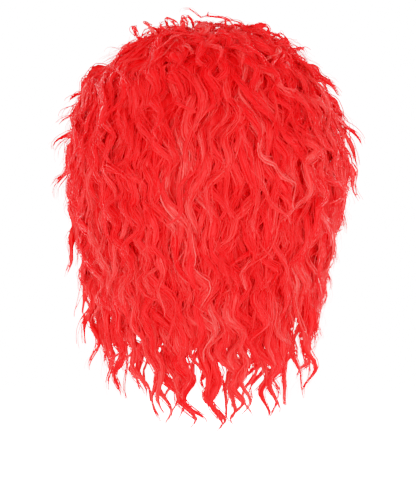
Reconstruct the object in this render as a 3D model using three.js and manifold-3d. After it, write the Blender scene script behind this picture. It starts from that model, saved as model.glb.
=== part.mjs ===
// A crimped wig: a stretch cap with rows of wavy locks sewn round it.
// Millimetres, +Z up, the opening for the face towards -Y and the left side towards +X.
// The origin is the inside of the cap's crown, where the top of the head touches it.
import * as THREE from "three";
import { mergeVertices } from "three/addons/utils/BufferGeometryUtils.js";
import Module from "manifold-3d";

// The cap: half sizes of the head it fits, its wall and how far its rim hangs below the crown
const HEAD_HALF_WIDTH = 77;
const HEAD_HALF_DEPTH = 96;
const CROWN_TO_WIDEST = 100;
const CAP_WALL = 1.5;
const RIM_DROP_FRONT = 52;
const RIM_DROP_NAPE = 165;
const RIM_CURVE = 0.78;
const NAPE_TUCK = 0.2;
const CAP_STEPS_ROUND = 26;
const CAP_STEPS_DOWN = 6;

// Clearances: between the cap and the hair sewn to it, between two rows of hair, and past a pointed tip
const SEAT_GAP = 0.4;
const ROW_GAP = 0.4;
const TIP_GAP = 1;
const JOIN_DISTANCE = 1e-3;

// The crimp: one wave of a lock, how far it swings sideways and outwards, and where along the lock that grows
const WAVE_LENGTH = 68;
const WAVE_SIDEWAYS = 5;
const WAVE_OUTWARDS = 3.5;
const WAVE_GROWS = [0.2, 0.6];

// A row of locks is matted together down to its hem and hangs in pointed locks below it. PARTED is the share
// of its free length by which a lock has left its neighbours, and FLARE_GROWS where along it the tip flares.
const MAT_THICKNESS = 6;
const TIP_THICKNESS = 1.6;
const TIP_POINT = 1.2;
const ROOT_SINK = 0.08;
const LAYER_STEP = 0.2;
const FREE_STEPS = 4;
const PARTED = 0.5;
const FLARE_GROWS = [0.75, 1.1];

// How much the locks of a row differ: tip in stations, sweep in radians, flare in depth and phase in waves
const TIP_SPREAD = 0.7;
const SWEEP_SPREAD = 0.05;
const FLARE_SPREAD = 0.2;
const PHASE_SPREAD = 0.16;
const PHASE_STEP = 0.1;
const MOST_LOCKS = 100;

// Sections of the hair from crown to tips, called stations and counted from 0. out is the outer surface and
// in the surface next to the head: each gives its height and its reach to the sides, the back and the front.
const STATION_LENGTH = 56;
const SECTIONS = [
  { outZ: 44, outSide: 0, outBack: 0, outFront: 0, inZ: 2, inSide: 0, inBack: 0, inFront: 0 },
  { outZ: 36, outSide: 66, outBack: 68, outFront: 62, inZ: -8, inSide: 33, inBack: 41, inFront: 41 },
  { outZ: 6, outSide: 114, outBack: 114, outFront: 106, inZ: -35, inSide: 60, inBack: 75, inFront: 75 },
  { outZ: -45, outSide: 143, outBack: 144, outFront: 124, inZ: -73, inSide: 76, inBack: 94, inFront: 94 },
  { outZ: -105, outSide: 156, outBack: 159, outFront: 128, inZ: -117, inSide: 79, inBack: 98, inFront: 98 },
  { outZ: -165, outSide: 152, outBack: 155, outFront: 126, inZ: -165, inSide: 78, inBack: 88, inFront: 96 },
  { outZ: -225, outSide: 138, outBack: 144, outFront: 118, inZ: -225, inSide: 82, inBack: 82, inFront: 92 },
  { outZ: -285, outSide: 126, outBack: 132, outFront: 108, inZ: -285, inSide: 86, inBack: 82, inFront: 90 },
  { outZ: -345, outSide: 114, outBack: 122, outFront: 100, inZ: -345, inSide: 84, inBack: 86, inFront: 86 },
  { outZ: -400, outSide: 98, outBack: 116, outFront: 92, inZ: -400, inSide: 76, inBack: 88, inFront: 80 },
];

// Rows of locks, outermost first. from and to are degrees from the back towards the left side. root,
// shows, hem and tip are stations: where the row is sewn on, where it comes out from under the row above,
// where its locks part and where they end, with tipEdge for the row's two ends. depth is how far out it lies
// at its hem, from 0 at the head to 1 at the outer surface, relief how far its locks stand out in
// millimetres, and steps counts the rings of its mat.
const ROWS = [
  { name: "crown_weft", from: -180, to: 180, locks: 22, steps: 7,
    root: 0, shows: 0.8, hem: 2.6, tip: 3.6, tipEdge: 3.2, depth: 0.84, relief: 13 },
  { name: "fringe_weft", from: 148, to: 212, locks: 6, steps: 3,
    root: 2.1, shows: 2.7, hem: 3.1, tip: 3.9, tipEdge: 4.1, depth: 0.7, relief: 9 },
  { name: "upper_weft", from: -144, to: 144, locks: 17, steps: 4,
    root: 1.6, shows: 2.6, hem: 4.2, tip: 5.2, tipEdge: 4.8, depth: 0.84, relief: 13 },
  { name: "left_side_weft", from: 100, to: 144, locks: 4, steps: 4,
    root: 2.6, shows: 4.4, hem: 5.8, tip: 6.9, tipEdge: 6.6, depth: 0.78, relief: 11 },
  { name: "right_side_weft", from: -144, to: -100, locks: 4, steps: 4,
    root: 2.6, shows: 4.4, hem: 5.8, tip: 6.9, tipEdge: 6.6, depth: 0.78, relief: 11 },
  { name: "middle_weft", from: -98, to: 98, locks: 14, steps: 4,
    root: 2.5, shows: 4.4, hem: 5.7, tip: 6.7, tipEdge: 6.4, depth: 0.84, relief: 13 },
  { name: "lower_weft", from: -88, to: 88, locks: 13, steps: 4,
    root: 3.3, shows: 5.9, hem: 6.8, tip: 7.9, tipEdge: 7.4, depth: 0.82, relief: 11 },
  { name: "nape_weft", from: -76, to: 76, locks: 12, steps: 3,
    root: 4.1, shows: 6.9, hem: 7.6, tip: 9, tipEdge: 8.2, depth: 0.78, relief: 9 },
];

const HAIR = new THREE.MeshStandardMaterial({ color: 0xe01f24, roughness: 0.45, metalness: 0 });
const CAP_CLOTH = new THREE.MeshStandardMaterial({ color: 0x7d1216, roughness: 0.85, metalness: 0 });

const wasm = await Module();
wasm.setup();

const { lerp: mix, degToRad, clamp } = THREE.MathUtils;
const smooth = (low, high, x) => THREE.MathUtils.smoothstep(x, low, high);
const list = (count, make) => Array.from({ length: count }, (_, i) => make(i));
const emptySkin = () => ({ points: [], triangles: [] });
const goesRound = (row) => row.to - row.from === 360;

// A repeatable number from 0 to 1 for a lock and a use
function scatter(index, use) {
  const spread = Math.sin(index * 12.9898 + use * 78.233) * 43758.5453;
  return spread - Math.floor(spread);
}

// 1 at the back of the head, 0 at the front
function backShare(azimuth) {
  return (1 + Math.cos(azimuth)) / 2;
}

// Adds the wall between an outer and an inner grid of points to a skin. A grid is a list of columns, and
// closed says which edges of the wall get a face: its top, its bottom and its two ends.
function addWall(skin, outer, inner, closed) {
  const [columns, rows] = [outer.length, outer[0].length];
  const first = skin.points.length;
  const inside = columns * rows;
  skin.points.push(...outer.flat(), ...inner.flat());
  const quad = (...corners) => {
    const [a, b, c, d] = corners.map((corner) => first + corner);
    skin.triangles.push([a, b, c], [a, c, d]);
  };
  const edge = (a, b) => quad(b, a, inside + a, inside + b);
  for (let here = 0; here + rows < inside; here += rows) {
    const next = here + rows;
    for (let v = 0; v + 1 < rows; v++) {
      quad(here + v, next + v, next + v + 1, here + v + 1);
      quad(inside + here + v, inside + here + v + 1, inside + next + v + 1, inside + next + v);
    }
    if (closed.top) edge(here, next);
    if (closed.bottom) edge(next + rows - 1, here + rows - 1);
  }
  for (let v = 0; v + 1 < rows && closed.ends; v++) {
    edge(v + 1, v);
    edge(inside - rows + v, inside - rows + v + 1);
  }
  return skin;
}

// A skin as a solid that faces outwards, with coincident points joined
function solidFrom(skin) {
  const geometry = new THREE.BufferGeometry().setFromPoints(skin.points);
  geometry.setIndex(skin.triangles.flat());
  const merged = mergeVertices(geometry, JOIN_DISTANCE);
  const corner = (index) => merged.index.getX(index);
  const whole = skin.triangles
    .map((_, i) => [corner(3 * i), corner(3 * i + 1), corner(3 * i + 2)])
    .filter((triangle) => new Set(triangle).size === 3);
  const vertProperties = merged.attributes.position.array;
  const build = (order) =>
    new wasm.Manifold(new wasm.Mesh({ numProp: 3, vertProperties, triVerts: new Uint32Array(order) }));
  const solid = build(whole.flat());
  return solid.volume() > 0 ? solid : build(whole.flat().reverse());
}

// A point of the cap, raised above its inside by height, at a polar angle from the crown
function capPoint(azimuth, polar, height) {
  const below = Math.max(0, polar - Math.PI / 2);
  const ring = below > 0 ? 1 - NAPE_TUCK * below ** 2 : Math.sin(polar);
  const reach = CROWN_TO_WIDEST + height;
  const drop = below > 0 ? reach * below : -reach * Math.cos(polar);
  return new THREE.Vector3(
    (HEAD_HALF_WIDTH + height) * ring * Math.sin(azimuth),
    (HEAD_HALF_DEPTH + height) * ring * Math.cos(azimuth),
    -CROWN_TO_WIDEST - drop,
  );
}

// The polar angle of the cap's rim, which is high over the face and low at the nape
function rimPolar(azimuth) {
  const drop = mix(RIM_DROP_FRONT, RIM_DROP_NAPE, backShare(azimuth) ** RIM_CURVE);
  const below = drop - CROWN_TO_WIDEST;
  return below > 0 ? Math.PI / 2 + below / CROWN_TO_WIDEST : Math.acos(-below / CROWN_TO_WIDEST);
}

// Points of the cap from its crown to a distance past its rim, at a height above its inside
function capGrid(height, pastRim) {
  return list(CAP_STEPS_ROUND + 1, (i) => {
    const azimuth = (2 * Math.PI * i) / CAP_STEPS_ROUND;
    const last = rimPolar(azimuth) + pastRim / CROWN_TO_WIDEST;
    return list(CAP_STEPS_DOWN + 1, (j) => capPoint(azimuth, (last * j) / CAP_STEPS_DOWN, height));
  });
}

function makeCap() {
  return solidFrom(addWall(emptySkin(), capGrid(CAP_WALL, 0), capGrid(0, 0), { bottom: true }));
}

// The space that hair keeps out of: the cap with the seat gap round it, and the head inside
function makeHeadForm() {
  const outer = capGrid(CAP_WALL + SEAT_GAP, SEAT_GAP);
  const middle = new THREE.Vector3(0, 0, -CROWN_TO_WIDEST);
  const inner = outer.map((column) => column.map(() => middle));
  return solidFrom(addWall(emptySkin(), outer, inner, { bottom: true }));
}

// A value of a column of SECTIONS at any station, on a curve through its rows
function sectionAt(column, station) {
  const last = SECTIONS.length - 1;
  const i = clamp(Math.floor(station), 0, last - 1);
  const at = (k) => SECTIONS[clamp(k, 0, last)][column];
  const t = station - i;
  const slopeIn = (at(i + 1) - at(i - 1)) / 2;
  const slopeOut = (at(i + 2) - at(i)) / 2;
  return (
    at(i) * (2 * t ** 3 - 3 * t ** 2 + 1) +
    slopeIn * (t ** 3 - 2 * t ** 2 + t) +
    at(i + 1) * (3 * t ** 2 - 2 * t ** 3) +
    slopeOut * (t ** 3 - t ** 2)
  );
}

// A point in the hair: azimuth, station from crown to tips, and depth from the head outwards
function hairPoint(azimuth, station, depth) {
  const level = (side) => mix(sectionAt("in" + side, station), sectionAt("out" + side, station), depth);
  const lengthwise = Math.cos(azimuth) > 0 ? level("Back") : level("Front");
  return new THREE.Vector3(level("Side") * Math.sin(azimuth), lengthwise * Math.cos(azimuth), level("Z"));
}

// How far out a row lies at a station: in the cap's surface at its root, under the row above where it begins
// to show, and outside at its hem
function depthAt(row, station) {
  const under = row.depth - LAYER_STEP;
  if (station < row.shows) return mix(-ROOT_SINK, under, (station - row.root) / (row.shows - row.root));
  return mix(under, row.depth, smooth(row.shows, row.hem, station));
}

// The locks of a row: each one's tip, sweep, flare and phase of its wave
function locksOf(row, rowIndex) {
  return list(row.locks, (i) => {
    const id = rowIndex * MOST_LOCKS + i;
    const share = (i + 0.5) / row.locks;
    const azimuth = degToRad(mix(row.from, row.to, share));
    const edge = goesRound(row) ? 1 - backShare(azimuth) : (2 * share - 1) ** 2;
    return {
      tip: mix(row.tip, row.tipEdge, edge) + TIP_SPREAD * (scatter(id, 1) - 0.5),
      phase: 2 * Math.PI * (PHASE_STEP * i + PHASE_SPREAD * scatter(id, 2)),
      sweep: SWEEP_SPREAD * (scatter(id, 3) - 0.5),
      flare: FLARE_SPREAD * scatter(id, 4),
    };
  });
}

// A point of a row in one of its locks. across runs from -1 to 1 over the lock, whose edges it shares with
// its neighbours down to the hem, and side is 1 outside and -1 inside. The row is grown by a clearance.
function rowPoint(row, locks, index, across, station, side, clearance) {
  const own = locks[index];
  const beside = index + Math.sign(across);
  const neighbour = goesRound(row) ? locks.at(beside % row.locks) : locks[beside];
  const free = clamp((station - row.hem) / (own.tip - row.hem), 0, 1);
  const parted = smooth(0, PARTED, free);
  const shared = (Math.abs(across) / 2) * (1 - parted);
  const blended = (value) => mix(value(own), value(neighbour ?? own), shared);

  const along = (station - row.root) / (blended((lock) => lock.tip) - row.root);
  const place = (index + 0.5 + (across / 2) * (1 - free ** TIP_POINT)) / row.locks;
  const azimuth = degToRad(mix(row.from, row.to, place)) + along * blended((lock) => lock.sweep);

  const turn = (lock) => (2 * Math.PI * station * STATION_LENGTH) / WAVE_LENGTH + lock.phase;
  const swing = smooth(...WAVE_GROWS, along);
  const sway = WAVE_SIDEWAYS * swing * blended((lock) => Math.sin(turn(lock)));
  const bulge = WAVE_OUTWARDS * swing * blended((lock) => Math.cos(turn(lock)));

  const ridge = side > 0 ? (1 - Math.abs(across)) * smooth(row.shows, row.hem, station) : 0;
  const half = mix(MAT_THICKNESS / 2 + ridge * row.relief, TIP_THICKNESS / 2, free);
  const flare = blended((lock) => lock.flare) * smooth(...FLARE_GROWS, along);
  const domed = row.root === 0 && side > 0;
  const depth = (domed ? row.depth : depthAt(row, station)) + flare;
  const point = hairPoint(azimuth, station, depth);
  const outwards = hairPoint(azimuth, station, depth + 1).sub(point).normalize();
  const sideways = new THREE.Vector3(Math.cos(azimuth), -Math.sin(azimuth), 0);
  return point
    .addScaledVector(sideways, sway + across * clearance * (neighbour ? parted : 1))
    .addScaledVector(outwards, bulge + side * (half + clearance));
}

// A row of locks as one solid, grown all round by a clearance: its mat, and then each lock below the hem
function makeRow(row, rowIndex, clearance) {
  const locks = locksOf(row, rowIndex);
  const matted = [row.root, ...list(row.steps, (j) => mix(row.shows, row.hem, j / (row.steps - 1)))];
  const column = (index, across, stations, side) =>
    stations.map((station) => rowPoint(row, locks, index, across, station, side, clearance));

  const mat = (side) => {
    const inLocks = locks.flatMap((_, i) => [-1, 0].map((across) => column(i, across, matted, side)));
    return [...inLocks, column(row.locks - 1, 1, matted, side)];
  };
  const skin = addWall(emptySkin(), mat(1), mat(-1), { top: true, ends: !goesRound(row) });

  locks.forEach((lock, i) => {
    const stations = list(FREE_STEPS + 1, (j) => mix(row.hem, lock.tip, j / FREE_STEPS));
    const strip = (across, side) => lengthened(column(i, across, stations, side), clearance);
    const face = (side) => [-1, 0, 1].map((across) => strip(across, side));
    addWall(skin, face(1), face(-1), { bottom: true, ends: true });
  });
  return solidFrom(skin);
}

// A column of points whose last one is moved on in its own direction, if it has a clearance
function lengthened(points, clearance) {
  const [before, last] = points.slice(-2);
  const way = last.clone().sub(before).normalize();
  if (clearance > 0) last.addScaledVector(way, TIP_GAP);
  return points;
}

// The largest body of a solid, without the crumbs that a cut may leave
function mainBody(solid) {
  return solid.decompose().reduce((best, body) => (body.volume() > best.volume() ? body : best));
}

function meshOf(name, solid, material) {
  const { numProp, vertProperties, triVerts } = solid.getMesh();
  const geometry = new THREE.BufferGeometry();
  const buffer = new THREE.InterleavedBuffer(vertProperties, numProp);
  geometry.setAttribute("position", new THREE.InterleavedBufferAttribute(buffer, 3, 0));
  geometry.setIndex(new THREE.BufferAttribute(triVerts, 1));
  const mesh = new THREE.Mesh(geometry.toNonIndexed(), material);
  mesh.geometry.computeVertexNormals();
  mesh.name = name;
  return mesh;
}

const wig = new THREE.Group();
wig.add(meshOf("cap", makeCap(), CAP_CLOTH));

// Each row is cut clear of the head and of the rows that lie over it
let taken = makeHeadForm();
ROWS.forEach((row, i) => {
  wig.add(meshOf(row.name, mainBody(makeRow(row, i, 0).subtract(taken)), HAIR));
  taken = taken.add(makeRow(row, i, ROW_GAP));
});

export default wig;
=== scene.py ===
import copy
import math
from dataclasses import dataclass, replace

import bpy
import numpy as np
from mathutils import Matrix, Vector


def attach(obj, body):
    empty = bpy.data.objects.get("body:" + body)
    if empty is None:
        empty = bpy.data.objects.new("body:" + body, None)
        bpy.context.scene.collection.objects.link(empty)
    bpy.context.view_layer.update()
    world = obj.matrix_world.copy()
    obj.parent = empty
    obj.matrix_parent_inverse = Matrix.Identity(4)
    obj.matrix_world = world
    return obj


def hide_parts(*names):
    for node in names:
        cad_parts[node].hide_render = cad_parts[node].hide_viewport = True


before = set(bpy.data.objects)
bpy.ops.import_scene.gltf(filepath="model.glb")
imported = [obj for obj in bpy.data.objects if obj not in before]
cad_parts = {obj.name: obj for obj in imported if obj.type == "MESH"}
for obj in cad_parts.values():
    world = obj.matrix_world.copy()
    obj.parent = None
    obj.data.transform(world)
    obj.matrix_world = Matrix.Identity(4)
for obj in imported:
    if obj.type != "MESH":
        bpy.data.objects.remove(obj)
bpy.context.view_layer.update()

# A millimetre, the seed of every random draw, and the shortest length that gives a direction
MM = 0.001
SEED = 7
SHORTEST = 1e-9

# Sections of the hair from crown to tips, called stations and counted from 0, in millimetres. The first
# four numbers are the outer surface and the last four the surface next to the head: each has its height and
# its reach to the sides, the back and the front.
SECTIONS = np.array(
    [
        (44, 0, 0, 0, 2, 0, 0, 0),
        (36, 66, 68, 62, -8, 33, 41, 41),
        (6, 114, 114, 106, -35, 60, 75, 75),
        (-45, 143, 144, 124, -73, 76, 94, 94),
        (-105, 156, 159, 128, -117, 79, 98, 98),
        (-165, 152, 155, 126, -165, 78, 88, 96),
        (-225, 138, 144, 118, -225, 82, 82, 92),
        (-285, 126, 132, 108, -285, 86, 82, 90),
        (-345, 114, 122, 100, -345, 84, 86, 86),
        (-400, 98, 116, 92, -400, 76, 88, 80),
    ],
    dtype=float,
)

# The length of a station, the first and last that hair reaches, and a step in depth that gives the way
# outwards
STATION_LENGTH = 56
FIRST_STATION = 0.02
LAST_STATION = 9.2
OUTWARD_STEP = 0.3


@dataclass
class Row:
    """A weft. Azimuths are degrees from the back. Starts and ends are the stations where its first and last
    locks come out and where they end, and the locks at its two edges end earlier by edge_rise. Depths run
    from 0 at the head to 1 at the outer surface. Crimp and fuzz say how strongly its locks wave and its
    strands stray. The mat that closes the row behind its locks has its own stations and depths. Half widths
    are in millimetres, tint is the mean of its locks, and sweep is the spread, in radians, of the angles
    that they turn aside by. Inner locks hang on the side that faces the head."""

    name: str
    azimuths: tuple
    starts: tuple
    ends: tuple
    edge_rise: float
    depths: tuple
    locks: int
    flyaways: int
    crimp: float
    fuzz: float
    mat: tuple
    mat_depths: tuple
    half_widths: tuple = (3.6, 8.6)
    tint: float = 0.52
    sweep: float = 0.24
    inner_locks: int = 0
    inner_starts: tuple = (0, 0)
    inner_ends: tuple = (0, 0)
    loops: int = 0

    def goes_round(self):
        return self.azimuths[1] - self.azimuths[0] == 360

    def edge(self, across):
        """How near the row's edges, or the front of a row that goes round, a share of its width is."""
        if self.goes_round():
            return (1 - np.cos(np.radians(mix(*self.azimuths, across)))) / 2
        return (2 * across - 1) ** 2


LEFT_SIDE = Row(
    "left_side_weft", (94, 148), starts=(2.8, 4.8), ends=(5.0, 7.1), edge_rise=0.2, depths=(0.6, 0.98),
    locks=54, flyaways=50, crimp=1.4, fuzz=1.2, mat=(2.6, 6.0), mat_depths=(0.15, 0.6), sweep=0.13,
    inner_locks=14, inner_starts=(2.8, 4.2), inner_ends=(4.8, 6.8),
)
ROWS = [
    # The crown's lower tint is painted shade: the top of the hair is darker where less light falls on it
    Row(
        "crown_weft", (-180, 180), starts=(0.0, 2.2), ends=(1.8, 4.1), edge_rise=0.3, depths=(0.88, 1.0),
        locks=166, flyaways=150, crimp=1.5, fuzz=1.6, mat=(0.0, 2.9), mat_depths=(0.66, 0.78), tint=0.42,
        loops=30,
    ),
    Row(
        "fringe_weft", (146, 214), starts=(1.9, 3.0), ends=(3.2, 4.3), edge_rise=-0.1, depths=(0.62, 0.95),
        locks=44, flyaways=50, crimp=1.3, fuzz=1.1, mat=(1.9, 3.5), mat_depths=(0.2, 0.58), sweep=0.19,
        inner_locks=8, inner_starts=(2.0, 2.5), inner_ends=(3.0, 3.9),
    ),
    # The upper row's tint, a little lower than that of the rows below, is painted shade towards the top
    Row(
        "upper_weft", (-146, 146), starts=(1.7, 3.6), ends=(3.8, 5.6), edge_rise=0.3, depths=(0.86, 1.0),
        locks=160, flyaways=170, crimp=1.5, fuzz=1.6, mat=(1.9, 4.8), mat_depths=(0.4, 0.78), tint=0.47,
    ),
    LEFT_SIDE,
    replace(LEFT_SIDE, name="right_side_weft", azimuths=(-148, -94)),
    Row(
        "middle_weft", (-100, 100), starts=(3.0, 4.9), ends=(5.0, 6.9), edge_rise=0.3, depths=(0.84, 1.0),
        locks=144, flyaways=130, crimp=1.45, fuzz=1.4, mat=(3.2, 6.2), mat_depths=(0.3, 0.76),
    ),
    Row(
        "lower_weft", (-92, 92), starts=(4.3, 6.1), ends=(6.3, 7.9), edge_rise=0.4, depths=(0.77, 1.0),
        locks=124, flyaways=130, crimp=1.4, fuzz=1.25, mat=(4.2, 7.0), mat_depths=(0.2, 0.7),
    ),
    Row(
        "nape_weft", (-82, 82), starts=(5.2, 6.9), ends=(7.4, 8.8), edge_rise=0.6, depths=(0.64, 0.98),
        locks=96, flyaways=130, crimp=1.3, fuzz=0.9, mat=(4.7, 7.2), mat_depths=(0.05, 0.6),
        half_widths=(4.2, 8.4), inner_locks=44, inner_starts=(4.7, 5.8), inner_ends=(6.6, 8.5),
    ),
]

# What the curls on the top edge, the tufts on the sides and the ends at the lower edge have in common, and
# how much rounder their strands are than those of other locks, because they are seen edge on
CURL_DEPTH = 0.96
CURL_FAN = 0.1
CURL_TWIST = 40
TUFT_DEPTH = 0.98
TUFT_TWIST = 65
END_FAN = 0.05
END_TWIST = 15
FEATURE_ROUNDNESS = 2.0


@dataclass
class Feature:
    """A lock that shows by itself in the outline: where it runs, in degrees and stations, its half width in
    millimetres, its depth, how far its strands fan out, in depth, how far it is twisted from lying flat, in
    degrees, and how far its tip flares and its middle arches up, in depth."""

    row: str
    azimuth: float
    start: float
    end: float
    sweep: float
    half_width: float
    depth: float
    fan: float
    twist: float
    flare: float = 0.0
    arch: float = 0.0


def curl(azimuth, start, end, sweep, arch, half_width):
    """A small arch of hair on the top edge."""
    run = (azimuth, start, end, sweep)
    return Feature("crown_weft", *run, half_width, CURL_DEPTH, CURL_FAN, CURL_TWIST, arch=arch)


def tuft(row, azimuth, start, end, sweep, flare, fan, half_width):
    """A pointed lock that leaves the outline on a side."""
    run = (azimuth, start, end, sweep)
    return Feature(row, *run, half_width, TUFT_DEPTH, fan, TUFT_TWIST, flare=flare)


def low_end(azimuth, start, end, sweep, depth, half_width):
    """A pointed lock at the lower edge."""
    run = (azimuth, start, end, sweep)
    return Feature("nape_weft", *run, half_width, depth, END_FAN, END_TWIST)


FEATURES = [
    curl(2, 0.7, 0.9, 16, 0.1, 2.0),
    curl(12, 0.9, 0.8, 15, 0.14, 2.2),
    curl(30, 0.8, 1.0, -15, 0.14, 2.4),
    curl(26, 1.0, 0.9, 14, 0.12, 2.0),
    curl(46, 0.9, 1.1, -15, 0.14, 2.4),
    curl(40, 1.15, 1.0, 14, 0.1, 2.0),
    curl(58, 1.1, 1.25, -12, 0.13, 2.2),
    curl(52, 1.3, 1.2, 12, 0.1, 2.0),
    curl(66, 1.35, 1.5, -10, 0.11, 2.2),
    curl(62, 1.5, 1.45, 11, 0.08, 2.0),
    curl(-16, 0.9, 0.8, -14, 0.08, 2.0),
    curl(-44, 1.0, 1.15, -15, 0.14, 2.6),
    curl(-60, 1.2, 1.1, 13, 0.13, 2.2),
    curl(-56, 1.35, 1.5, -12, 0.13, 2.6),
    curl(-70, 1.55, 1.5, 11, 0.1, 2.2),
    curl(-70, 1.8, 1.9, -9, 0.08, 2.0),
    tuft("crown_weft", 95, 2.0, 3.4, -4, 0.05, 0.3, 6.6),
    tuft("upper_weft", 92, 2.0, 3.05, -3, 0.16, 0.08, 5.6),
    tuft("upper_weft", 86, 2.3, 3.5, 3, 0.18, 0.08, 6.0),
    tuft("upper_weft", 93, 2.8, 3.9, -2, 0.15, 0.08, 5.6),
    tuft("upper_weft", 88, 3.2, 4.55, 2, 0.18, 0.08, 6.4),
    tuft("upper_weft", -90, 1.9, 2.9, 2, 0.12, 0.08, 5.6),
    tuft("upper_weft", -87, 2.6, 3.85, -2, 0.18, 0.08, 6.0),
    tuft("upper_weft", -93, 3.0, 4.2, 3, 0.15, 0.08, 5.6),
    tuft("upper_weft", -88, 3.5, 4.8, -2, 0.18, 0.08, 6.4),
    tuft("middle_weft", 88, 4.4, 6.2, 0, 0.42, 0.12, 7.0),
    tuft("lower_weft", 84, 5.5, 6.95, 2, 0.3, 0.25, 6.4),
    tuft("lower_weft", 78, 5.6, 7.5, 2, 0.5, 0.3, 6.6),
    tuft("lower_weft", 70, 5.8, 7.9, 4, 0.55, 0.3, 6.6),
    tuft("nape_weft", -62, 6.4, 8.3, -6, 0.15, 0.15, 6.0),
    tuft("nape_weft", 58, 6.5, 8.2, 6, 0.2, 0.15, 6.0),
    low_end(31, 6.6, 8.7, -2, 0.88, 7.4),
    low_end(27, 6.7, 8.55, 3, 0.8, 6.0),
    low_end(16, 6.7, 8.6, 2, 0.86, 6.0),
    low_end(10, 6.8, 8.75, -2, 0.8, 7.0),
    low_end(1, 6.7, 8.65, -2, 0.84, 6.0),
    low_end(-6, 6.6, 8.95, 2, 0.9, 7.4),
    low_end(-15, 6.9, 8.8, -2, 0.8, 7.0),
    low_end(-22, 6.7, 8.6, 3, 0.88, 6.0),
    low_end(-36, 6.7, 8.7, -2, 0.88, 7.0),
    low_end(-43, 6.6, 8.55, 2, 0.84, 6.0),
]

# Places where the outline lies further in than the sections: degrees, station and change of depth, and how
# far each reaches round the head, in radians, and along it, in stations
DENTS = [
    (75, 1.5, -0.15),
    (-80, 1.9, -0.15),
    (-90, 5.6, -0.1),
    (90, 5.2, -0.06),
    (-80, 7.3, -0.12),
    (90, 3.6, -0.05),
    (-90, 3.6, -0.05),
]
DENT_WIDTH = 0.7
DENT_LENGTH = 0.8

# The crimp: one wave's length, how far it swings sideways and outwards, in millimetres, the share of that
# at the root, the share of the lock where it is grown, and how far the outward swing lags, in radians.
# Neighbours wave together: DRIFTS are slow changes of the wave's phase, as waves round the head, waves
# along a station and a size in turns, with DRIFT_OFFSET between them. Each lock differs from that by
# PHASE_SPREAD, and at its tip by SLIP, in turns. A lock wanders from its way in longer waves as well.
WAVE_LENGTH = 46
WAVE_SIDEWAYS = (2.4, 5.8)
WAVE_OUTWARDS = (1.0, 3.6)
WAVE_FROM = 0.45
WAVE_GROWN = 0.7
WAVE_LAG = 1.2
DRIFTS = [(2, 0.12, 0.32), (5, -0.08, 0.3), (9, 0.1, 0.2), (14, -0.13, 0.14)]
DRIFT_OFFSET = 2.4
PHASE_SPREAD = 0.08
SLIP = 0.16
WANDER_LENGTH = (80, 150)
WANDER_SIDEWAYS = (0.5, 9.0)
WANDER_OUTWARDS = (0.4, 3.8)

# Where a lock lies: the spread of its end, in stations, how deep its root lies under the mat, the share of
# its length in which it comes out, how far its tip flares, in depth, which is seldom far, and the depths of
# the locks that face the head
LOCK_END_SPREAD = 0.15
LOCK_UNDER_MAT = 0.05
LOCK_EMERGES = 0.3
LOCK_FLARE = (-0.04, 0.28)
LOCK_FLARE_RARE = 3
LOCK_FLARE_FROM = 0.5
INNER_DEPTHS = (0.1, 0.36)

# The form of a lock: its arch as a share of its half width, the angles that it is twisted by and rocks by
# with the wave, in radians, how much it narrows with the wave, and its outline from root to tip
LOCK_ARCH = 0.26
LOCK_TWIST = 0.35
LOCK_ROCK = 0.45
LOCK_PINCH = 0.2
LOCK_ROOT_WIDTH = 0.5
LOCK_ROOT_LENGTH = 0.3
LOCK_TIP_WIDTH = 0.08
LOCK_TIP_FROM = 0.4
LOCK_TIP_PAST = 1.05

# Tint, from 0, dark, to 1, light: how locks differ, the painted shade at each lock's root and how far along
# it reaches, and how each changes towards its tip
LOCK_TINT_SPREAD = 0.17
LOCK_TINT_LIMITS = (0.24, 0.82)
ROOT_PAINTED_SHADE = -0.06
ROOT_PAINTED_SHADE_LENGTH = 0.4
TIP_TINT = 0.02

# The core of a lock, under its strands: its half width as a share of the lock's, its ridge as a share of
# its own half width, the share of the lock where it ends, and its darker tint, painted shade under the
# strands
CORE_WIDTH = 0.72
CORE_RIDGE = 0.24
CORE_END = 0.95
CORE_PAINTED_SHADE = -0.04

# Points along the strands of outer locks and of those under them, how much closer they lie where the wave
# turns, the ends where they don't, and the slowest wave that counts, in radians along a lock
OUTER_SAMPLES = 22
UNDER_SAMPLES = 14
PEAK_SAMPLES = 0.55
SAMPLE_MARGIN = 0.1
SLOWEST_WAVE = 6

# The strands of a lock: their spacing and least number, how unevenly they lie, their half widths from thick
# to fine, in millimetres, their ridge as a share of that, where they end, their tips, their tints, and the
# painted shade on those at the edges of a lock
STRAND_SPACING = 1.5
FEWEST_STRANDS = 2
STRAND_UNEVEN = 0.2
STRAND_HALF_WIDTH = (1.05, 0.24)
STRAND_RIDGE = 0.45
STRAND_ENDS = (0.9, 1.0)
STRAND_TIP = 0.6
STRAND_TIP_FROM = 0.5
STRAND_TINT_SPREAD = 0.09
STRAND_EDGE_PAINTED_SHADE = -0.06

# How far a strand strays from its place in the lock, in millimetres, and in waves of its own. The finest
# strays most, and each strays less at its root, at its tip, where the strands gather, and upwards.
STRAND_STRAY = (0.2, 4.4)
STRAND_STRAY_RARE = 2.0
STRAND_STRAY_FROM = 0.3
STRAND_STRAY_FULL = 0.8
STRAND_STRAY_GROWN = 0.4
STRAND_STRAY_LENGTH = (24, 60)
STRAND_STRAY_UP = 0.6
STRAND_GATHERS = 0.8
STRAND_GATHERS_FROM = 0.5

# How a strand differs from its lock: it fans out at its tip, in depth and seldom far, lies higher or lower,
# in millimetres, leads or follows the wave, in turns, and swings more or less
STRAND_FAN = 0.12
STRAND_FAN_RARE = 2.5
STRAND_LIFT = 0.5
STRAND_LEAD = 0.03
STRAND_PHASE_SPREAD = 0.015
STRAND_SWAY = (0.92, 1.08)

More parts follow.
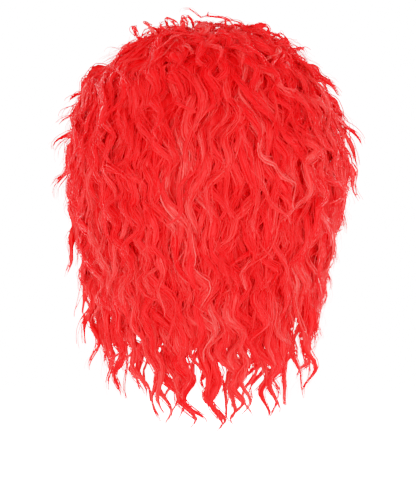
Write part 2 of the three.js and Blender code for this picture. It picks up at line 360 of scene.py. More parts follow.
# Single fine hairs that leave the surface: points along each, half widths from thick to fine, depths, how
# far they stray, in millimetres, and flare, in depth, and how much rounder they are than strands
FLYAWAY_SAMPLES = 10
FLYAWAY_HALF_WIDTH = (0.3, 0.14)
FLYAWAY_DEPTHS = (0.9, 1.0)
FLYAWAY_STRAY = (1.0, 6.0)
FLYAWAY_FLARE = (0.0, 0.14)
FLYAWAY_ROUNDNESS = 2.0

# Short thin arches that stand up from the crown: depths, the stations where they start and how much further
# they end, the spread of the angles that they turn aside by, in radians, the arch, in depth, half widths in
# millimetres and the share of a lock's swing
LOOP_DEPTHS = (0.86, 0.96)
LOOP_STARTS = (0.3, 1.9)
LOOP_LENGTHS = (-0.2, 1.1)
LOOP_SWEEP = 0.5
LOOP_ARCH = (0.1, 0.22)
LOOP_HALF_WIDTH = (1.2, 3.0)
LOOP_SWAY = 0.5

# The outline of a strand: flat, with three sides and its ridge outwards
RIBBON = np.array([(1.0, -0.4), (0.0, 1.0), (-1.0, -0.4)])

# The mat that closes a row behind its locks: thickness in millimetres, degrees to a column, rings from top
# to hem, relief of its ridges in millimetres, how ragged its hem is, in stations, how far it sways, in
# radians, the share in which it comes out to its full depth, its tint, darker than the locks' as painted
# shade behind them, and painted light on its raised ridges and painted shade on its sunken ones
MAT_THICKNESS = 2.5
MAT_STEP = 2.5
MAT_RINGS = 18
MAT_RELIEF = 2.0
MAT_RAGGED = 0.3
MAT_SWAY = 0.03
MAT_RISES = 0.3
MAT_PAINTED_SHADE_TINT = 0.42
MAT_RIDGE_PAINTED_SHADE = 0.12

# Fine lines along the fibres: lines round a strand and in a step of the mat, changes along a millimetre and
# in a ring of the mat, how far apart two strands may start, and relief
FIBRES_ROUND = 9
FIBRE_STEPS = 0.045
FIBRE_SHIFT = 90
MAT_FIBRES = 1.5
MAT_FIBRE_STEPS = 0.3
STRAND_LINE_RELIEF = 1.0
MAT_LINE_RELIEF = 8.0

# Places in the texture: the number that marks the mat, the share of its strip and the gap above that, and
# the margin in the cell of each tube
MAT_CELL = -1
MAT_SHARE = 0.2
MAT_GAP = 0.01
CELL_MARGIN = 0.06

# How locks are spread: layers follow each other by EVEN_STEP, and the place of each lock is picked from a
# few, as the one over the barest part of the row. Cover is counted in steps round the head and along a
# station, under some points of each lock, and beside them.
EVEN_STEP = 0.7548776662
COVER_CHOICES = 10
COVER_ROUND = 120
COVER_ALONG = 4
COVER_POINTS = np.linspace(0.15, 0.85, 9)
COVER_BESIDE = (-1, 0, 1)

# The hair's fibre: its colours from dark to light, the noise of its fine lines, their changes of tint and
# range of roughness, their strength and height in metres, gloss, and the light that passes through
HAIR_COLOURS = [
    (0.0, (0.93, 0.0006, 0.0011)),
    (0.28, (0.96, 0.0016, 0.0023)),
    (0.55, (0.98, 0.0046, 0.0049)),
    (0.8, (0.99, 0.0158, 0.0145)),
    (1.0, (0.99, 0.049, 0.044)),
]
FIBRE_SCALE = 1.0
FIBRE_DETAIL = 2.0
FIBRE_TINTS = (-0.4, 0.4)
FIBRE_ROUGHNESS = (0.38, 0.58)
FIBRE_BUMP = 0.3
FIBRE_HEIGHT = 0.0004
HAIR_SPECULAR = 0.07
HAIR_SUBSURFACE = 0.35
HAIR_SUBSURFACE_RADIUS = (1.0, 0.2, 0.2)
HAIR_SUBSURFACE_SCALE = 0.003

# The cap's net: cells along a metre, colours from the threads to the middle of a cell, the strength and
# height of the threads, blotches along a metre, their range of roughness, and gloss
NET_SCALE = 450
NET_COLOURS = [
    (0.0, (0.34, 0.012, 0.014)),
    (0.25, (0.12, 0.003, 0.004)),
    (1.0, (0.06, 0.002, 0.002)),
]
NET_BUMP = 0.6
NET_HEIGHT = 0.0005
NET_BLOTCHES = 40
NET_ROUGHNESS = (0.75, 0.95)
NET_SPECULAR = 0.2

# The studio: a pale floor below the tips, as bright as the white surroundings, a darker ceiling that begins
# at a share of the way up, and broad lights, two behind the wig and two in front, each with its place, size
# and power
WHITE = (1, 1, 1)
FLOOR_HEIGHT = -0.56
FLOOR_HALF = 12.0
FLOOR_MOTTLE = 3
FLOOR_COLOURS = [(0.0, (0.86, 0.86, 0.86)), (1.0, (0.92, 0.92, 0.92))]
FLOOR_ROUGHNESS = 0.9
FLOOR_GLOW = 0.58
CEILING_FROM = 0.2
CEILING = (0.06, 0.06, 0.06)
LIGHTS = [
    ((1.1, 2.2, -0.1), 1.6, 16.5),
    ((-1.3, 2.0, -0.3), 1.8, 15.5),
    ((0.9, -2.1, 0.1), 1.8, 20),
    ((-0.9, -2.1, 0.1), 1.8, 20),
]

# The camera: its height, its distance from the outline, how far behind the origin the outline lies, the
# height that it takes in there, and the sensor along that height, in millimetres
CAMERA_HEIGHT = -0.205
CAMERA_DISTANCE = 2.2
OUTLINE_BACK = 0.02
VIEW_HEIGHT = 0.5467
SENSOR = 36.0

# The tone curve: how strongly it bends, the brightnesses that it is set at, and its number, after those of
# red, green and blue
TONE_BEND = 4.0
TONE_STEPS = (0.03, 0.08, 0.16, 0.3, 0.5, 0.75)
TONE_CURVE = 3


def smooth(low, high, x):
    """A soft step from 0 to 1 between two values."""
    t = np.clip((x - low) / (high - low), 0, 1)
    return t * t * (3 - 2 * t)


def mix(a, b, t):
    return a + (b - a) * t


def unit(vectors):
    return vectors / np.maximum(np.linalg.norm(vectors, axis=-1, keepdims=True), SHORTEST)


def pairs(u, v):
    return np.stack(np.broadcast_arrays(u, v), axis=-1)


def along(points):
    """The length of each path up to each of its points."""
    step = np.linalg.norm(np.diff(points, axis=1), axis=-1)
    return np.concatenate([np.zeros((len(points), 1)), np.cumsum(step, axis=1)], axis=1)


def section_at(station):
    """The values of SECTIONS at any stations, on a curve through its rows."""
    last = len(SECTIONS) - 1
    i = np.clip(np.floor(station).astype(int), 0, last - 1)
    t = (station - i)[..., None]

    def at(k):
        return SECTIONS[np.clip(k, 0, last)]

    slope_in = (at(i + 1) - at(i - 1)) / 2
    slope_out = (at(i + 2) - at(i)) / 2
    return (
        at(i) * (2 * t**3 - 3 * t**2 + 1)
        + slope_in * (t**3 - 2 * t**2 + t)
        + at(i + 1) * (3 * t**2 - 2 * t**3)
        + slope_out * (t**3 - t**2)
    )


def hair_point(azimuth, station, depth):
    """Points in the hair, in millimetres: azimuth from the back, station, depth from the head outwards."""
    values = section_at(station)
    level = mix(values[..., 4:], values[..., :4], depth[..., None])
    height, side, back, front = np.moveaxis(level, -1, 0)
    lengthwise = np.where(np.cos(azimuth) > 0, back, front)
    return np.stack([side * np.sin(azimuth), lengthwise * np.cos(azimuth), height], axis=-1)


def outwards_at(azimuth, station, depth):
    """The direction from the head outwards."""
    return unit(hair_point(azimuth, station, depth + OUTWARD_STEP) - hair_point(azimuth, station, depth))


def dented(azimuth, station):
    """The change of depth that DENTS make at a place."""
    change = 0
    for degrees, middle, depth in DENTS:
        apart = (1 - np.cos(azimuth - math.radians(degrees))) / DENT_WIDTH**2
        change = change + depth * np.exp(-2 * apart - ((station - middle) / DENT_LENGTH) ** 2)
    return change


def wave_phase(azimuth, station):
    """The phase that hair at a place waves with, in radians."""
    turns = station * STATION_LENGTH / WAVE_LENGTH
    for i, (around, lengthwise, size) in enumerate(DRIFTS):
        drift = around * azimuth + 2 * math.pi * lengthwise * station + DRIFT_OFFSET * i
        turns = turns + size * np.sin(drift)
    return 2 * math.pi * turns


def frames(points, outward):
    """Directions across and above each path, which runs along the hair's surface."""
    tangent = unit(np.gradient(points, axis=1))
    side = unit(np.cross(outward, tangent))
    return side, np.cross(tangent, side)


def turned(side, up, angle):
    """The two directions turned about the path."""
    cos = np.cos(angle)[..., None]
    sin = np.sin(angle)[..., None]
    return side * cos + up * sin, up * cos - side * sin


def spread_out(row, count, rng):
    """Places across a row, layers from its first locks to its last, and sweeps, each as a column."""
    cover = np.zeros((COVER_ROUND, COVER_ALONG * len(SECTIONS)))
    layers = (rng.uniform() + EVEN_STEP * np.arange(count)) % 1
    picked = []
    for layer in layers:
        across = rng.uniform(0, 1, COVER_CHOICES)
        sweep = rng.normal(0, row.sweep, COVER_CHOICES)
        azimuth = np.radians(mix(*row.azimuths, across))[:, None] + np.outer(sweep, COVER_POINTS)
        station = mix(mix(*row.starts, layer), mix(*row.ends, layer), COVER_POINTS)
        column = np.floor(azimuth / (2 * math.pi) * COVER_ROUND).astype(int)
        line = (station * COVER_ALONG).astype(int)
        best = np.argmin(cover[column % COVER_ROUND, line].sum(axis=1))
        for beside in COVER_BESIDE:
            cover[(column[best] + beside) % COVER_ROUND, line] += 1
        picked.append((across[best], layer, sweep[best]))
    return np.array(picked).T[:, :, None]


class Piece:
    """The points, faces, tints and texture places of one mesh, gathered part by part."""

    def __init__(self):
        self.points = []
        self.tints = []
        self.reliefs = []
        self.corners = []
        self.sizes = []
        self.fibre = []
        self.place = []
        self.cell = []
        self.count = 0
        self.cells = 0

    def add_points(self, points, tint, relief):
        """New points with their tints and the relief of their fine lines. Gives back their numbers, in the
        same arrangement."""
        arrangement = points.shape[:-1]
        total = math.prod(arrangement)
        numbers = self.count + np.arange(total).reshape(arrangement)
        self.points.append(points.reshape(-1, 3))
        self.tints.append(np.broadcast_to(tint, arrangement).ravel())
        self.reliefs.append(np.full(total, relief))
        self.count += total
        return numbers

    def add_faces(self, faces, fibre, place, cell):
        """Faces as rows of point numbers, with their corners' places along the fibre and in a cell of the
        texture."""
        sides = faces.shape[-1]
        self.corners.append(faces.ravel())
        self.sizes.append(np.full(faces.size // sides, sides))
        self.fibre.append(np.broadcast_to(fibre, (*faces.shape, 2)).reshape(-1, 2))
        self.place.append(np.broadcast_to(place, (*faces.shape, 2)).reshape(-1, 2))
        self.cell.append(np.broadcast_to(cell, faces.shape).ravel())

    def add_tubes(self, centre, side, up, half_width, ridge, tint, rng):
        """Closed tubes of the RIBBON outline round the paths in centre, each with its own texture cell."""
        count, samples, _ = centre.shape
        sides = len(RIBBON)
        across = (half_width[..., None] * RIBBON[:, 0])[..., None]
        above = ((ridge * half_width)[..., None] * RIBBON[:, 1])[..., None]
        points = centre[:, :, None] + across * side[:, :, None] + above * up[:, :, None]
        numbers = self.add_points(points, tint[..., None], STRAND_LINE_RELIEF)
        cell = self.cells + np.arange(count)
        self.cells += count

        s = np.arange(samples - 1)[:, None, None] + np.array([0, 0, 1, 1])
        k = np.arange(sides)[:, None] + np.array([0, 1, 1, 0])
        shift = rng.uniform(0, FIBRE_SHIFT, (2, count, 1, 1, 1))
        fibre = pairs(k * FIBRES_ROUND / sides + shift[0], along(centre)[:, s] * FIBRE_STEPS + shift[1])
        place = pairs(k / sides, s / (samples - 1))
        self.add_faces(numbers[:, s, k % sides], fibre, place, cell[:, None, None, None])
        for end, caps in ((0, numbers[:, 0, ::-1]), (1, numbers[:, -1])):
            self.add_faces(caps, 0, pairs(np.arange(sides) / sides, end), cell[:, None])

    def add_wall(self, outer, inner, tint, closed):
        """A closed wall between two grids of points, in columns round the head."""
        loop = np.concatenate([outer, inner[:, ::-1]], axis=1)
        columns, around, _ = loop.shape
        numbers = self.add_points(loop, np.concatenate([tint, tint[:, ::-1]], axis=1), MAT_LINE_RELIEF)
        u = np.arange(columns if closed else columns - 1)[:, None, None] + np.array([0, 1, 1, 0])
        v = np.arange(around)[:, None] + np.array([0, 0, 1, 1])
        fibre = pairs(u * MAT_FIBRES, v * MAT_FIBRE_STEPS)
        self.add_faces(numbers[u % columns, v % around], fibre, pairs(u / columns, v / around), MAT_CELL)
        if not closed:
            j = np.arange(around // 2 - 1)
            strip = np.stack([j, j + 1, around - 2 - j, around - 1 - j], axis=-1)
            for edge in (numbers[0][strip], numbers[-1][strip[:, ::-1]]):
                self.add_faces(edge, 0, 0, MAT_CELL)

    def texture_places(self):
        """Each tube's own cell of the texture, above the strip that the mat has."""
        place = np.concatenate(self.place)
        cell = np.concatenate(self.cell)
        columns = math.ceil(math.sqrt(self.cells))
        origin = pairs(cell % columns, cell // columns)
        in_cell = (origin + CELL_MARGIN + (1 - 2 * CELL_MARGIN) * place) / columns
        tubes = pairs(in_cell[:, 0], MAT_SHARE + (1 - MAT_SHARE) * in_cell[:, 1])
        mats = pairs(place[:, 0], (MAT_SHARE - MAT_GAP) * place[:, 1])
        return np.where((cell == MAT_CELL)[:, None], mats, tubes)

    def make(self, name, material):
        """The gathered mesh as an object."""
        mesh = bpy.data.meshes.new(name)
        corners = np.concatenate(self.corners)
        sizes = np.concatenate(self.sizes)
        mesh.vertices.add(self.count)
        mesh.vertices.foreach_set("co", (np.concatenate(self.points) * MM).ravel())
        mesh.loops.add(len(corners))
        mesh.loops.foreach_set("vertex_index", corners.astype(np.int32))
        mesh.polygons.add(len(sizes))
        mesh.polygons.foreach_set("loop_start", (np.cumsum(sizes) - sizes).astype(np.int32))
        mesh.polygons.foreach_set("use_smooth", np.ones(len(sizes), dtype=bool))
        for attribute, values in (("tint", self.tints), ("relief", self.reliefs)):
            layer = mesh.attributes.new(attribute, "FLOAT", "POINT")
            layer.data.foreach_set("value", np.concatenate(values).astype(np.float32))
        mesh.uv_layers.new(name="OFBake").uv.foreach_set("vector", self.texture_places().ravel())
        mesh.uv_layers.new(name="fibre").uv.foreach_set("vector", np.concatenate(self.fibre).ravel())
        mesh.update(calc_edges=True)
        mesh.validate()
        mesh.materials.append(material)
        piece = bpy.data.objects.new(name, mesh)
        bpy.context.scene.collection.objects.link(piece)
        return piece


class Locks:
    """Locks of a row: where each runs, its width and the wave that it follows. Each value is a column."""

    def __init__(self, row, count, depths, rng):
        across, layer, sweep = spread_out(row, count, rng)

        def each(low, high):
            return rng.uniform(low, high, (count, 1))

        def around(mean, spread):
            return rng.normal(mean, spread, (count, 1))

        self.azimuth = np.radians(mix(*row.azimuths, across))
        self.start = mix(*row.starts, layer)
        self.end = mix(*row.ends, layer) - row.edge_rise * row.edge(across) + around(0, LOCK_END_SPREAD)
        self.sweep = sweep
        self.root_depth = np.full((count, 1), min(row.mat_depths[1] - LOCK_UNDER_MAT, depths[0]))
        self.depth = each(*depths)
        self.flare = mix(*LOCK_FLARE, each(0, 1) ** LOCK_FLARE_RARE)
        self.fan = np.full((count, 1), STRAND_FAN)
        self.arch = np.zeros((count, 1))
        self.follows_dents = np.ones((count, 1))
        self.half_width = each(*row.half_widths)
        self.roundness = np.ones((count, 1))
        self.fuzz = np.full((count, 1), row.fuzz)
        self.phase = around(0, PHASE_SPREAD)
        self.slip = around(0, SLIP)
        self.lag = each(-WAVE_LAG, WAVE_LAG)
        self.sway = row.crimp * each(*WAVE_SIDEWAYS)
        self.bulge = row.crimp * each(*WAVE_OUTWARDS)
        self.wander = each(*WANDER_LENGTH)
        self.wander_phase = each(0, 1)
        self.wander_sway = each(*WANDER_SIDEWAYS)
        self.wander_bulge = each(*WANDER_OUTWARDS)
        self.pinch = each(0, 2 * math.pi)
        self.twist = each(-LOCK_TWIST, LOCK_TWIST)
        self.rock = each(-LOCK_ROCK, LOCK_ROCK)
        self.tint = np.clip(around(row.tint, LOCK_TINT_SPREAD), *LOCK_TINT_LIMITS)

    def picked(self, which):
        """The locks with these numbers, which may repeat."""
        chosen = copy.copy(self)
        for name, values in vars(self).items():
            setattr(chosen, name, values[which])
        return chosen

    def place(self, t):
        """The azimuth and station of each lock at shares t of its length."""
        station = np.clip(mix(self.start, self.end, t), FIRST_STATION, LAST_STATION)
        return self.azimuth + self.sweep * t, station

    def wave(self, t):
        """The phase of each lock's wave, in radians."""
        return wave_phase(*self.place(t)) + 2 * math.pi * (self.phase + self.slip * t**2)

    def samples(self, count, last):
        """Shares of the length, up to last, that lie closer where the wave turns."""
        share = np.linspace(0, 1, count)[None]
        t = share * last
        phase = self.wave(t)
        rate = np.maximum((phase[:, -1:] - phase[:, :1]) / last, SLOWEST_WAVE)
        inside = smooth(0, SAMPLE_MARGIN, share) * (1 - smooth(1 - SAMPLE_MARGIN, 1, share))
        return t + PEAK_SAMPLES * inside * np.sin(2 * phase) / (2 * rate)

    def paths(self, t):
        """The middle of each lock at shares t of its length, with the directions across and above it, the
        way outwards and its half width. Waves shorter than WAVE_LENGTH swing less."""
        azimuth, station = self.place(t)
        depth = mix(self.root_depth, self.depth, smooth(0, LOCK_EMERGES, t))
        depth = depth + self.flare * smooth(LOCK_FLARE_FROM, 1, t) + self.arch * np.sin(math.pi * t)
        depth = depth + self.follows_dents * dented(azimuth, station)
        base = hair_point(azimuth, station, depth)
        outward = outwards_at(azimuth, station, depth)
        side, up = frames(base, outward)
        phase = self.wave(t)
        length = along(base)
        pace = np.gradient(phase, axis=1) / np.gradient(length, axis=1) * WAVE_LENGTH / (2 * math.pi)
        grown = mix(WAVE_FROM, 1, smooth(0, WAVE_GROWN, t)) / np.maximum(pace, 1)
        wander = 2 * math.pi * (length / self.wander + self.wander_phase)
        sway = grown * self.sway * np.sin(phase) + self.wander_sway * np.sin(wander)
        bulge = grown * self.bulge * np.cos(phase + self.lag) + self.wander_bulge * np.cos(wander)
        centre = base + side * sway[..., None] + up * bulge[..., None]
        side, up = frames(centre, outward)
        side, up = turned(side, up, self.twist + self.rock * np.sin(phase))
        reach = self.half_width * lock_outline(t) * (1 + LOCK_PINCH * np.sin(2 * phase + self.pinch))
        return centre, side, up, outward, reach


def lock_outline(t):
    """The width of a lock along its length, from its root to its pointed tip."""
    root = mix(LOCK_ROOT_WIDTH, 1, smooth(0, LOCK_ROOT_LENGTH, t))
    return root * mix(1, LOCK_TIP_WIDTH, smooth(LOCK_TIP_FROM, LOCK_TIP_PAST, t))


def tint_along(t):
    """The change of tint from root to tip, with painted shade at the root."""
    return TIP_TINT * t + ROOT_PAINTED_SHADE * (1 - smooth(0, ROOT_PAINTED_SHADE_LENGTH, t))


def add_cores(piece, locks, samples, rng):
    """The thick of each lock, which lies under its strands."""
    t = locks.samples(samples, CORE_END)
    centre, side, up, _, reach = locks.paths(t)
    ridge = CORE_RIDGE * locks.roundness
    # The core is darkened as painted shade under the strands, and painted shade darkens its root
    tint = locks.tint + CORE_PAINTED_SHADE + tint_along(t)
    piece.add_tubes(centre, side, up, CORE_WIDTH * reach, ridge, tint, rng)


def add_strands(piece, locks, numbers, samples, half_width, stray_range, rng):
    """Fine strands that lie side by side over the arch of each lock and draw together at its tip."""
    which = np.repeat(np.arange(len(numbers)), numbers)
    total = len(which)
    in_lock = np.arange(total) - np.repeat(np.cumsum(numbers) - numbers, numbers)

    def each(low, high):
        return rng.uniform(low, high, (total, 1))

    def around(spread):
        return rng.normal(0, spread, (total, 1))

    own = locks.picked(which)
    place = (2 * (in_lock + 0.5) / numbers[which] - 1)[:, None] + each(-STRAND_UNEVEN, STRAND_UNEVEN)
    own.phase = own.phase + STRAND_LEAD * place + around(STRAND_PHASE_SPREAD)
    own.sway = own.sway * each(*STRAND_SWAY)
    own.flare = own.flare + own.fan * each(0, 1) ** STRAND_FAN_RARE
    t = own.samples(samples, each(*STRAND_ENDS))
    centre, side, up, outward, reach = own.paths(t)
    fine = each(0, 1)
    stray = own.fuzz * mix(*stray_range, fine**STRAND_STRAY_RARE)
    stray = stray * mix(STRAND_STRAY_FROM, STRAND_STRAY_FULL, smooth(0, STRAND_STRAY_GROWN, t))
    stray = stray * (1 - STRAND_GATHERS * smooth(STRAND_GATHERS_FROM, 1, t))
    wobble = 2 * math.pi * (along(centre) / each(*STRAND_STRAY_LENGTH) + each(0, 1))
    offset = place * reach + stray * np.sin(wobble)
    arch = np.maximum(1 - place**2, 0) * reach * LOCK_ARCH
    lift = arch + around(STRAND_LIFT) + STRAND_STRAY_UP * stray * np.cos(wobble)
    path = centre + side * offset[..., None] + up * lift[..., None]
    side, up = frames(path, outward)
    width = mix(*half_width, fine) * mix(1, STRAND_TIP, smooth(STRAND_TIP_FROM, 1, t / t[:, -1:]))
    tint = own.tint + around(STRAND_TINT_SPREAD)
    # Strands at the lock's edges, low on its arch, get painted shade, and all of them get painted shade at
    # the root
    tint = tint + STRAND_EDGE_PAINTED_SHADE * np.minimum(place**2, 1) + tint_along(t)
    piece.add_tubes(path, side, up, width, STRAND_RIDGE * own.roundness, tint, rng)


def add_bundles(piece, locks, samples, rng):
    """Locks with a core and as many strands as their width takes."""
    numbers = np.round(2 * locks.half_width[:, 0] / STRAND_SPACING)
    numbers = np.maximum(numbers, FEWEST_STRANDS).astype(int)
    add_cores(piece, locks, samples, rng)
    add_strands(piece, locks, numbers, samples, STRAND_HALF_WIDTH, STRAND_STRAY, rng)


def add_locks(piece, row, rng):
    """Locks spread over a row, with more points along the outer ones."""
    locks = Locks(row, row.locks, row.depths, rng)
    outer = locks.depth[:, 0] > np.median(locks.depth)
    add_bundles(piece, locks.picked(outer), OUTER_SAMPLES, rng)
    add_bundles(piece, locks.picked(~outer), UNDER_SAMPLES, rng)


def add_inner_locks(piece, row, rng):
    """Locks on the side of a row that faces the head."""
    inner = replace(row, starts=row.inner_starts, ends=row.inner_ends, edge_rise=0)
    add_bundles(piece, Locks(inner, row.inner_locks, INNER_DEPTHS, rng), UNDER_SAMPLES, rng)


def add_flyaways(piece, row, rng):
    """Single fine hairs that leave the surface."""
    hairs = Locks(row, row.flyaways, FLYAWAY_DEPTHS, rng)
    hairs.flare = rng.uniform(*FLYAWAY_FLARE, (row.flyaways, 1))
    hairs.roundness = np.full((row.flyaways, 1), FLYAWAY_ROUNDNESS)
    single = np.ones(row.flyaways, dtype=int)
    add_strands(piece, hairs, single, FLYAWAY_SAMPLES, FLYAWAY_HALF_WIDTH, FLYAWAY_STRAY, rng)


def add_loops(piece, row, rng):
    """Short thin arches of hair that stand up from the crown."""
    shape = (row.loops, 1)
    loops = Locks(row, row.loops, LOOP_DEPTHS, rng)
    loops.start = rng.uniform(*LOOP_STARTS, shape)
    loops.end = loops.start + rng.uniform(*LOOP_LENGTHS, shape)
    loops.sweep = rng.normal(0, LOOP_SWEEP, shape)
    loops.arch = rng.uniform(*LOOP_ARCH, shape)
    loops.half_width = rng.uniform(*LOOP_HALF_WIDTH, shape)
    loops.sway = loops.sway * LOOP_SWAY
    add_bundles(piece, loops, OUTER_SAMPLES, rng)


def add_features(piece, row, rng):
    """The locks of a row that show by themselves in the outline."""
    own = [feature for feature in FEATURES if feature.row == row.name]
    if not own:
        return

    def column(name):
        return np.array([[getattr(feature, name)] for feature in own], dtype=float)

    locks = Locks(row, len(own), row.depths, rng)
    locks.azimuth = np.radians(column("azimuth"))
    locks.sweep = np.radians(column("sweep"))
    locks.twist = np.radians(column("twist"))
    locks.roundness = np.full((len(own), 1), FEATURE_ROUNDNESS)
    locks.follows_dents = np.zeros((len(own), 1))
    for name in ("start", "end", "depth", "flare", "fan", "arch", "half_width"):
        setattr(locks, name, column(name))
    add_bundles(piece, locks, OUTER_SAMPLES, rng)


def add_mat(piece, row, rng):
    """The thick of the hair behind the locks, as one ragged wall in crimped ridges."""
    columns = round((row.azimuths[1] - row.azimuths[0]) / MAT_STEP)
    last = columns if row.goes_round() else columns - 1
    across = (np.arange(columns) / last)[:, None]
    ragged = rng.uniform(-MAT_RAGGED, MAT_RAGGED, (columns, 1)) - row.edge_rise * row.edge(across)
    t = np.linspace(0, 1, MAT_RINGS)[None]
    station = np.clip(mix(row.mat[0], row.mat[1] + ragged, t), FIRST_STATION, LAST_STATION)
    azimuth = np.radians(mix(*row.azimuths, across))
    azimuth = azimuth + MAT_SWAY * np.sin(wave_phase(azimuth, station))
    depth = mix(*row.mat_depths, smooth(0, MAT_RISES, t)) + dented(azimuth, station)
    ridge = np.broadcast_to(rng.uniform(-1, 1, (columns, 1)), station.shape)
    outward = outwards_at(azimuth, station, depth)
    outer = hair_point(azimuth, station, depth) + outward * (MAT_RELIEF * ridge)[..., None]
    inner = outer - outward * MAT_THICKNESS
    # The mat's tint is painted shade, darker than the locks, with painted light on raised ridges and
    # painted shade on sunken ones
    piece.add_wall(outer, inner, MAT_PAINTED_SHADE_TINT + MAT_RIDGE_PAINTED_SHADE * ridge, row.goes_round())


def new_material(name):
    """A material, its node tree and the inputs of its shader."""
    material = bpy.data.materials.new(name)
    material.use_nodes = True
    tree = material.node_tree
    return material, tree, tree.nodes["Principled BSDF"].inputs


def ramp(tree, value, stops):
    """A value from 0 to 1 as a colour, through stops with a position and a colour each."""
    node = tree.nodes.new("ShaderNodeValToRGB")
    elements = node.color_ramp.elements
    first, last = (element.position for element in elements)
    while len(elements) < len(stops):
        elements.new((first + last) / 2)
    for element, (position, colour) in zip(elements, stops):
        element.position = position
        element.color = (*colour, 1)
    tree.links.new(value, node.inputs["Fac"])
    return node.outputs["Color"]


def between(tree, value, limits):
    """A value from 0 to 1 brought between two limits."""
    node = tree.nodes.new("ShaderNodeMapRange")
    node.inputs["To Min"].default_value = limits[0]
    node.inputs["To Max"].default_value = limits[1]
    tree.links.new(value, node.inputs["Value"])
    return node.outputs["Result"]


def combined(tree, operation, first, second):
    """Two values added or multiplied."""
    node = tree.nodes.new("ShaderNodeMath")
    node.operation = operation
    tree.links.new(first, node.inputs[0])
    tree.links.new(second, node.inputs[1])
    return node.outputs["Value"]


def point_value(tree, name):
    """A value that the points of a mesh have."""
    node = tree.nodes.new("ShaderNodeAttribute")
    node.attribute_name = name
    return node.outputs["Fac"]


def raised(tree, height, strength, distance, inverted=False):
    """The way that a surface faces, with a relief whose height goes from 0 to 1."""
    node = tree.nodes.new("ShaderNodeBump")
    node.invert = inverted
    node.inputs["Strength"].default_value = strength
    node.inputs["Distance"].default_value = distance
    tree.links.new(height, node.inputs["Height"])
    return node.outputs["Normal"]


def hair_material():
    """Glossy red fibre: light and dark strands, with fine lines along each lock."""
    material, tree, surface = new_material("hair_fibre")
    place = tree.nodes.new("ShaderNodeUVMap")
    place.uv_map = "fibre"
    noise = tree.nodes.new("ShaderNodeTexNoise")
    noise.noise_dimensions = "2D"
    noise.inputs["Scale"].default_value = FIBRE_SCALE
    noise.inputs["Detail"].default_value = FIBRE_DETAIL
    tree.links.new(place.outputs["UV"], noise.inputs["Vector"])
    lines = noise.outputs["Fac"]
    tint = combined(tree, "ADD", point_value(tree, "tint"), between(tree, lines, FIBRE_TINTS))
    tree.links.new(ramp(tree, tint, HAIR_COLOURS), surface["Base Color"])
    tree.links.new(between(tree, lines, FIBRE_ROUGHNESS), surface["Roughness"])
    height = combined(tree, "MULTIPLY", lines, point_value(tree, "relief"))
    tree.links.new(raised(tree, height, FIBRE_BUMP, FIBRE_HEIGHT), surface["Normal"])
    surface["Specular IOR Level"].default_value = HAIR_SPECULAR
    surface["Subsurface Weight"].default_value = HAIR_SUBSURFACE
    surface["Subsurface Radius"].default_value = HAIR_SUBSURFACE_RADIUS
    surface["Subsurface Scale"].default_value = HAIR_SUBSURFACE_SCALE
    return material


def cap_material():
    """Deep red stretch net, knitted in small cells."""
    material, tree, surface = new_material("cap_net")
    place = tree.nodes.new("ShaderNodeTexCoord").outputs["Object"]
    net = tree.nodes.new("ShaderNodeTexVoronoi")
    net.feature = "DISTANCE_TO_EDGE"
    net.inputs["Scale"].default_value = NET_SCALE
    tree.links.new(place, net.inputs["Vector"])
    from_thread = net.outputs["Distance"]
    blotch = tree.nodes.new("ShaderNodeTexNoise")
    blotch.inputs["Scale"].default_value = NET_BLOTCHES
    tree.links.new(place, blotch.inputs["Vector"])
    tree.links.new(ramp(tree, from_thread, NET_COLOURS), surface["Base Color"])
    tree.links.new(between(tree, blotch.outputs["Fac"], NET_ROUGHNESS), surface["Roughness"])
    threads = raised(tree, from_thread, NET_BUMP, NET_HEIGHT, inverted=True)
    tree.links.new(threads, surface["Normal"])
    surface["Specular IOR Level"].default_value = NET_SPECULAR
    return material


def floor_material():
    """Pale matt paint, as bright as the surroundings."""
    material, tree, surface = new_material("floor_paint")
    mottle = tree.nodes.new("ShaderNodeTexNoise")
    mottle.inputs["Scale"].default_value = FLOOR_MOTTLE
    tree.links.new(ramp(tree, mottle.outputs["Fac"], FLOOR_COLOURS), surface["Base Color"])
    surface["Roughness"].default_value = FLOOR_ROUGHNESS
    surface["Emission Color"].default_value = (*WHITE, 1)
    surface["Emission Strength"].default_value = FLOOR_GLOW
    return material


def make_floor():
    """The pale floor below the hair."""
    mesh = bpy.data.meshes.new("floor")
    h = FLOOR_HALF
    corners = [(-h, -h, FLOOR_HEIGHT), (h, -h, FLOOR_HEIGHT), (h, h, FLOOR_HEIGHT), (-h, h, FLOOR_HEIGHT)]
    mesh.from_pydata(corners, [], [(0, 1, 2, 3)])
    mesh.materials.append(floor_material())
    floor = bpy.data.objects.new("floor", mesh)
    bpy.context.scene.collection.objects.link(floor)


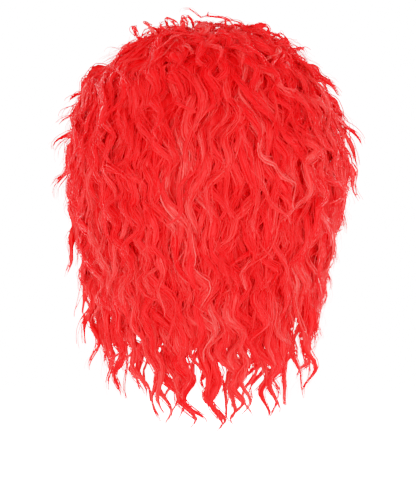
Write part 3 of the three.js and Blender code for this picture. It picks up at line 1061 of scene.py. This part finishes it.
def make_surroundings():
    """White all round, falling to a dark ceiling."""
    world = bpy.data.worlds.new("studio")
    world.use_nodes = True
    tree = world.node_tree
    way = tree.nodes.new("ShaderNodeTexCoord")
    height = tree.nodes.new("ShaderNodeSeparateXYZ")
    tree.links.new(way.outputs["Generated"], height.inputs["Vector"])
    fall = ramp(tree, height.outputs["Z"], [(0.0, WHITE), (CEILING_FROM, WHITE), (1.0, CEILING)])
    tree.links.new(fall, tree.nodes["Background"].inputs["Color"])
    bpy.context.scene.world = world


def make_lights():
    """Broad soft lights that face the middle of the hair."""
    aim = Vector((0, 0, CAMERA_HEIGHT))
    for i, (place, size, power) in enumerate(LIGHTS):
        data = bpy.data.lights.new(f"softbox_{i}", "AREA")
        data.size = size
        data.energy = power
        light = bpy.data.objects.new(f"softbox_{i}", data)
        light.location = place
        light.rotation_euler = (aim - Vector(place)).to_track_quat("-Z", "Y").to_euler()
        bpy.context.scene.collection.objects.link(light)


def make_camera():
    """A level camera straight behind the wig."""
    data = bpy.data.cameras.new("camera")
    data.sensor_width = SENSOR
    data.lens = SENSOR * CAMERA_DISTANCE / VIEW_HEIGHT
    camera = bpy.data.objects.new("camera", data)
    camera.location = (0, CAMERA_DISTANCE + OUTLINE_BACK, CAMERA_HEIGHT)
    camera.rotation_euler = (math.pi / 2, 0, math.pi)
    bpy.context.scene.collection.objects.link(camera)
    bpy.context.scene.camera = camera


def soften_highlights():
    """Brightness that rises ever more slowly towards white."""
    settings = bpy.context.scene.view_settings
    settings.view_transform = "Standard"
    settings.use_curve_mapping = True
    curve = settings.curve_mapping.curves[TONE_CURVE]
    for light in TONE_STEPS:
        curve.points.new(light, light * (1 + TONE_BEND) / (1 + TONE_BEND * light))
    settings.curve_mapping.update()


make_floor()
make_surroundings()
make_lights()
make_camera()
soften_highlights()

hair = hair_material()
for index, row in enumerate(ROWS):
    rng = np.random.default_rng([SEED, index])
    piece = Piece()
    add_mat(piece, row, rng)
    add_locks(piece, row, rng)
    if row.inner_locks:
        add_inner_locks(piece, row, rng)
    add_flyaways(piece, row, rng)
    if row.loops:
        add_loops(piece, row, rng)
    add_features(piece, row, rng)
    shown = piece.make(row.name.replace("_weft", "_hair"), hair)
    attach(shown, "root")
    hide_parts(row.name)

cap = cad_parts["cap"]
cap.data.materials.clear()
cap.data.materials.append(cap_material())
